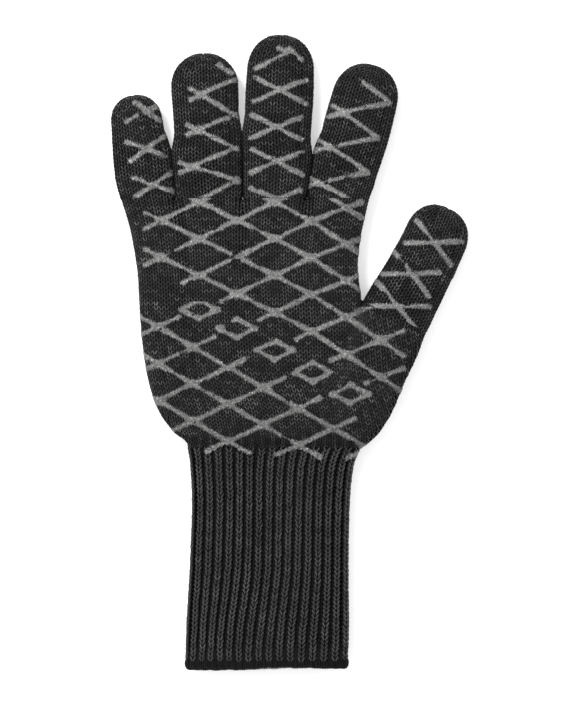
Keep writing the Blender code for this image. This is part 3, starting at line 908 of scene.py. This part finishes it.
# Grip print.  Mid grey silicone, screened on to the palm side as a diamond lattice.  It lies over the
# stitches as one thin skin that dips a little between them, with soft ragged edges and dry patches.
LATTICE_HOME = (-7.8, 59.3)
LATTICE_COLUMN = 19.5
LATTICE_ROW = 9.5
SLIP_FROM = 5.0
SLIP = (0.09, 0.14)
HIGH_SHIFT = -1.45
HIGH_LEVEL = 0.5
LOW_EDGES = (-66.3, -67.9)
LOW_SQUEEZE = 0.925
LOW_SHIFT = 0.7
LOW_TILT = 0.05
HIGH_TAIL, LOW_TAIL, LAST_TAIL = 0.42, 0.6, 0.66
THUMB_TAIL = [((36.0, 20.9), (47.5, 23.4))]
FILM_HALF_WIDTH = 1.38
FILM_POOLING = 0.5
FILM_WAIST = 0.28
FILM_LIFT = 1.05
FILM_DIP = 0.34
FILM_WALL = 0.55
FILM_RIPPLE = 0.06
SWELLING = (0.36, 0.16)
MISSED_ABOVE = 0.52
DRY_ABOVE = 0.88
FOLLOWS_RELIEF = 0.75
FILM_PER_COLUMN = 12
FILM_PER_COURSE = 5
BAND_TOP, BAND_FOOT = -4, -8
FIRST_COLUMN, LAST_COLUMN = -3, 3
TOP_ROW, CROTCH_ROW, LAST_ROW = 4, -4, -11
grip_silicone = bpy.data.materials.new("grip_silicone")
grip_silicone.use_nodes = True
film_nodes, film_links = grip_silicone.node_tree.nodes, grip_silicone.node_tree.links
film_grain_and_glints = fine_noise(film_nodes, film_links, 950.0, 4.0)
film_grain_and_glints.inputs["Roughness"].default_value = 0.7
# The print's colour varies at random with its grain, and its brightest specks are painted glints.
film_ramp = film_nodes.new("ShaderNodeValToRGB")
film_ramp.color_ramp.elements[0].position = 0.36
film_ramp.color_ramp.elements[0].color = (0.06, 0.06, 0.06, 1)
film_ramp.color_ramp.elements[1].position = 0.69
film_ramp.color_ramp.elements[1].color = (0.64, 0.64, 0.63, 1)
film_ramp.color_ramp.elements.new(0.50).color = (0.150, 0.150, 0.148, 1)
film_ramp.color_ramp.elements.new(0.60).color = (0.235, 0.235, 0.232, 1)
film_bump = film_nodes.new("ShaderNodeBump")
film_bump.inputs["Strength"].default_value = 0.8
film_bump.inputs["Distance"].default_value = 0.0003
film_links.new(film_grain_and_glints.outputs["Fac"], film_ramp.inputs["Fac"])
film_links.new(film_grain_and_glints.outputs["Fac"], film_bump.inputs["Height"])
film_shader = film_nodes["Principled BSDF"]
film_links.new(film_ramp.outputs["Color"], film_shader.inputs["Base Color"])
film_links.new(film_bump.outputs["Normal"], film_shader.inputs["Normal"])
film_shader.inputs["Roughness"].default_value = 0.38


def off_the_strokes(spots, strokes):
    """How far each spot is from the strokes, which run together where they meet, less their half width."""
    near = np.zeros(len(spots))
    for start, end in strokes:
        start, along = np.array(start), np.array(end) - np.array(start)
        share = np.clip((spots - start) @ along / (along @ along), 0, 1)
        apart = np.linalg.norm(spots - start - share[:, None] * along, axis=-1)
        near += np.exp(-(apart + FILM_WAIST * np.sin(np.pi * share)) / FILM_POOLING)
    x, y = spots[:, 0], spots[:, 1]
    swelling = 1 + SWELLING[0] * bumps(x, y, 3.1, 0.7) + SWELLING[1] * bumps(x, y, 0.9, 2.2)
    missed = ease((bumps(x, y, 3.7, 5.3) - MISSED_ABOVE) / 0.2)
    return -FILM_POOLING * np.log(near + 1e-30) - FILM_HALF_WIDTH * swelling + missed


def stitch_relief(column, course):
    """1 on the legs of the loops and 0 between them."""
    from_middle = np.abs(column - np.floor(column) - 0.5)
    return 0.5 + 0.5 * np.cos(2 * np.pi * (course - 4 * from_middle + 0.5))


def film(name, region, columns, first, last, strokes, nodes, to_pattern=lambda plan: plan,
         dip=lambda column: 0.0, stitch=lambda column, course: column):
    """The silicone skin over one region's front, kept where its strokes run."""
    bm = bmesh.new()
    bmesh.ops.create_grid(bm, x_segments=columns * FILM_PER_COLUMN,
                          y_segments=int((last - first) * FILM_PER_COURSE), size=1)
    for vert in bm.verts:
        vert.co.x = (vert.co.x + 1) / 2 * columns
        vert.co.y = first + (vert.co.y + 1) / 2 * (last - first)
    middles = np.array([cell.calc_center_median()[:2] for cell in bm.faces])
    relief = stitch_relief(stitch(middles[:, 0], middles[:, 1]), middles[:, 1])
    spots = to_pattern(region(middles[:, 0], middles[:, 1], CREST)[0])
    bare = off_the_strokes(spots, strokes) + FOLLOWS_RELIEF * (0.5 - relief) > 0
    dry = bumps(spots[:, 0], spots[:, 1], 1.3, 4.0) + 0.25 * (0.5 - relief) > DRY_ABOVE
    bmesh.ops.delete(bm, geom=[cell for cell, off in zip(bm.faces, bare | dry) if off], context="FACES")
    edge = [vert for vert in bm.verts if vert.is_boundary]
    bmesh.ops.smooth_vert(bm, verts=edge, factor=0.5, use_axis_x=True, use_axis_y=True, use_axis_z=True)
    column, course = (np.array([vert.co[k] for vert in bm.verts]) for k in (0, 1))
    lift = FILM_LIFT - FILM_DIP * (1 - stitch_relief(stitch(column, course), course)) - dip(column)
    places = cloth(region, column, course, lift)[0]
    places[:, 2] += FILM_RIPPLE * bumps(places[:, 0], places[:, 1], 0.5, 3.1)
    for vert, place in zip(bm.verts, places * MM):
        vert.co = place
    piece = smooth_piece(name, bm, grip_silicone)
    give_wall(piece, FILM_WALL)
    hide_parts(*nodes)
    return piece


def upper_crossing(i, j):
    """A crossing above the plain band.  The screen slipped down a little towards the thumb."""
    x, y = LATTICE_HOME[0] + LATTICE_COLUMN * i, LATTICE_HOME[1] + LATTICE_ROW * j
    slip = max(0.0, x - SLIP_FROM)
    return np.array([x - SLIP[0] * slip, y - SLIP[1] * slip + HIGH_SHIFT + HIGH_LEVEL * max(0, i)])


def lower_crossing(i, j):
    """A crossing below the plain band, where the cloth was drawn in towards the wrist."""
    x, y = LATTICE_HOME[0] + LATTICE_COLUMN * i, LATTICE_HOME[1] + LATTICE_ROW * j
    from_edge = x - LOW_EDGES[0]
    return np.array([LOW_EDGES[1] + from_edge * LOW_SQUEEZE, y + LOW_SHIFT - from_edge * LOW_TILT])


def lattice(crossing, inside, stub):
    """Strokes between neighbouring crossings, with short tails where a strand runs out."""
    strokes = []
    for i in range(FIRST_COLUMN, LAST_COLUMN + 1):
        for j in range(LAST_ROW, TOP_ROW + 1):
            if (i + j) % 2 or not inside(i, j):
                continue
            here = crossing(i, j)
            for across, up in ((1, 1), (1, -1), (-1, 1), (-1, -1)):
                there = crossing(i + across, j + up)
                if inside(i + across, j + up) and FIRST_COLUMN <= i + across <= LAST_COLUMN:
                    if across == 1:
                        strokes.append((here, there))
                else:
                    tail = LAST_TAIL if i == LAST_COLUMN and across > 0 else stub
                    strokes.append((here, here + (there - here) * tail))
    return strokes


def above_the_band(i, j):
    """Crossings above the band.  The last column has only those that lie below the thumb's crotch."""
    return i + j >= BAND_TOP and (i < LAST_COLUMN or j < CROTCH_ROW)


def below_the_band(i, j):
    """Crossings between the band and the wrist."""
    return i + j <= BAND_FOOT and j >= LAST_ROW


upper_strokes = lattice(upper_crossing, above_the_band, HIGH_TAIL)
lower_strokes = lattice(lower_crossing, below_the_band, LOW_TAIL)


def low_stitch(column, course):
    """The wale that a column of the lower hand falls on."""
    across, left = wales(course)
    return column * across / LOW_COLUMNS - left


high_print = film("palm_print_high", hand_high, HAND_COLUMNS, 0, HIGH_COURSES, upper_strokes,
                  ["palm_grip_upper"])
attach(high_print, "palm")
for name, strokes, node in (("palm_print_side", upper_strokes + THUMB_TAIL, "palm_grip_upper"),
                            ("palm_print_low", lower_strokes, "palm_grip_lower")):
    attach(film(name, hand_low, LOW_COLUMNS, 0, LOW_COURSES, strokes, [node], stitch=low_stitch), "palm")
PURL_DIP = 0.7
PURL_EDGE = 0.06


def off_the_purl(column):
    """How far the print sinks between the cuff's ribs, at a column of rib."""
    at = np.mod(column, 1)
    return (PURL_DIP * ease((at - RIB_SHARE + PURL_EDGE) / (2 * PURL_EDGE))
            * ease((1 + PURL_EDGE - at) / (2 * PURL_EDGE)))


wrist_print = film("palm_print_wrist", cuff_region, RIBS_PER_FACE, CUFF_COURSES - 5, CUFF_COURSES,
                   lower_strokes, ["palm_grip_lower"], dip=off_the_purl)
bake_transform(wrist_print)

# Band.  Five plain open lozenges in the same silicone, printed along the plain band that crosses the
# lattice.  They step down with it towards the thumb's side.
LOZENGE = (9.3, 4.9)
BAND_MIDDLE = 2.3
BAND_SLIP_FROM = -30.0
for count in range(5):
    x = LATTICE_HOME[0] + (count - 2) * LATTICE_COLUMN
    y = BAND_MIDDLE - (count - 2) * LATTICE_ROW - SLIP[0] * max(0.0, x - BAND_SLIP_FROM)
    corners = [(x - LOZENGE[0], y), (x, y + LOZENGE[1]), (x + LOZENGE[0], y), (x, y - LOZENGE[1])]
    sides = list(zip(corners, corners[1:] + corners[:1]))
    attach(film("band_print_%d" % (count + 1), hand_low, LOW_COLUMNS, 0, LOW_COURSES, sides,
                 ["band_lozenge_%d" % (count + 1)], stitch=low_stitch), "palm")

# Stall prints.  Crosses on the little and middle fingers and the thumb, zigzags on the other two.
# A stroke's points are its offset across the stall and its distance along it.
ZIGZAG_TAIL = 0.29


def cross(offset, along, arms):
    """Two crossing strokes, with their middle and the half width and half height of their arms."""
    across, up = arms
    return [((offset - across, along - up), (offset + across, along + up)),
            ((offset - across, along + up), (offset + across, along - up))]


def zigzag(points, tails):
    """A zigzag through its corners.  The inner corners are crossings, with a tail beyond each strand."""
    points = np.array(points)
    strokes = list(zip(points, points[1:]))
    for number in range(1, len(points) - 1):
        if number % 2 == tails:
            for other in (number - 1, number + 1):
                beyond = (points[number] - points[other]) * ZIGZAG_TAIL
                strokes.append((points[number], points[number] + beyond))
    return strokes


STALL_STROKES = {
    "little": (cross(4.1, 6.4, (9.2, 4.9)) + cross(3.3, 25.3, (9.2, 5.0))
               + [((0.9, 50.0), (11.4, 39.5)), ((5.8, 44.8), (11.4, 46.6)), ((-4.6, 40.9), (0.8, 43.4))]),
    "ring": zigzag([(-6.5, -1.8), (14.4, 8.6), (-7.6, 16.7), (14.4, 25.3), (-4.0, 35.4), (15.0, 42.6),
                    (-2.0, 53.6), (15.2, 61.2)], 0) + [((7.9, 68.5), (14.2, 64.3))],
    "middle": (cross(0.3, 18.8, (12.9, 6.0)) + cross(-0.6, 36.8, (13.0, 6.0)) + cross(0.4, 56.0, (13.2, 6.2))
               + [((-12.4, 4.6), (1.5, -0.6)), ((1.5, -0.6), (12.4, 4.9)), ((-12.5, 66.7), (4.2, 76.5)),
                  ((4.2, 76.5), (10.4, 72.5)), ((-1.5, 77.4), (4.2, 76.5))]),
    "index": zigzag([(8.0, -0.2), (-11.0, 5.2), (10.6, 16.8), (-10.7, 24.5), (11.2, 35.4), (-8.6, 43.5),
                     (12.6, 54.8), (-4.8, 62.0)], 1),
    "thumb": cross(-1.5, 5.6, (14.6, 6.9)) + cross(-2.1, 24.0, (12.6, 6.6)) + cross(1.2, 43.6, (12.6, 6.6)),
}
STALL_GRIPS = {"little": (1, 3), "ring": (1, 2), "middle": (2, 4), "index": (1, 2), "thumb": (2, 3)}
for name, strokes in STALL_STROKES.items():
    stall, region = STALLS[name], stall_regions[name]
    lean, base = math.radians(stall["lean"]), np.array(stall["base"])
    split = stall_line(name)[0]

    def in_the_stall(plan, lean=lean, base=base):
        apart = plan - base
        return np.stack([apart[:, 0] * math.cos(lean) - apart[:, 1] * math.sin(lean),
                         apart[:, 0] * math.sin(lean) + apart[:, 1] * math.cos(lean)], -1)

    lower_grips, all_grips = STALL_GRIPS[name]
    for part, first, last, grips in (("lower", 0, split, range(1, lower_grips + 1)),
                                     ("upper", split, int(region.rows),
                                      range(lower_grips + 1, all_grips + 1))):
        skin = film(name + "_print_" + part, region, stall["columns"], first, last, strokes,
                    ["%s_grip_%d" % (name, number) for number in grips], to_pattern=in_the_stall)
        follow_stall(skin, part)
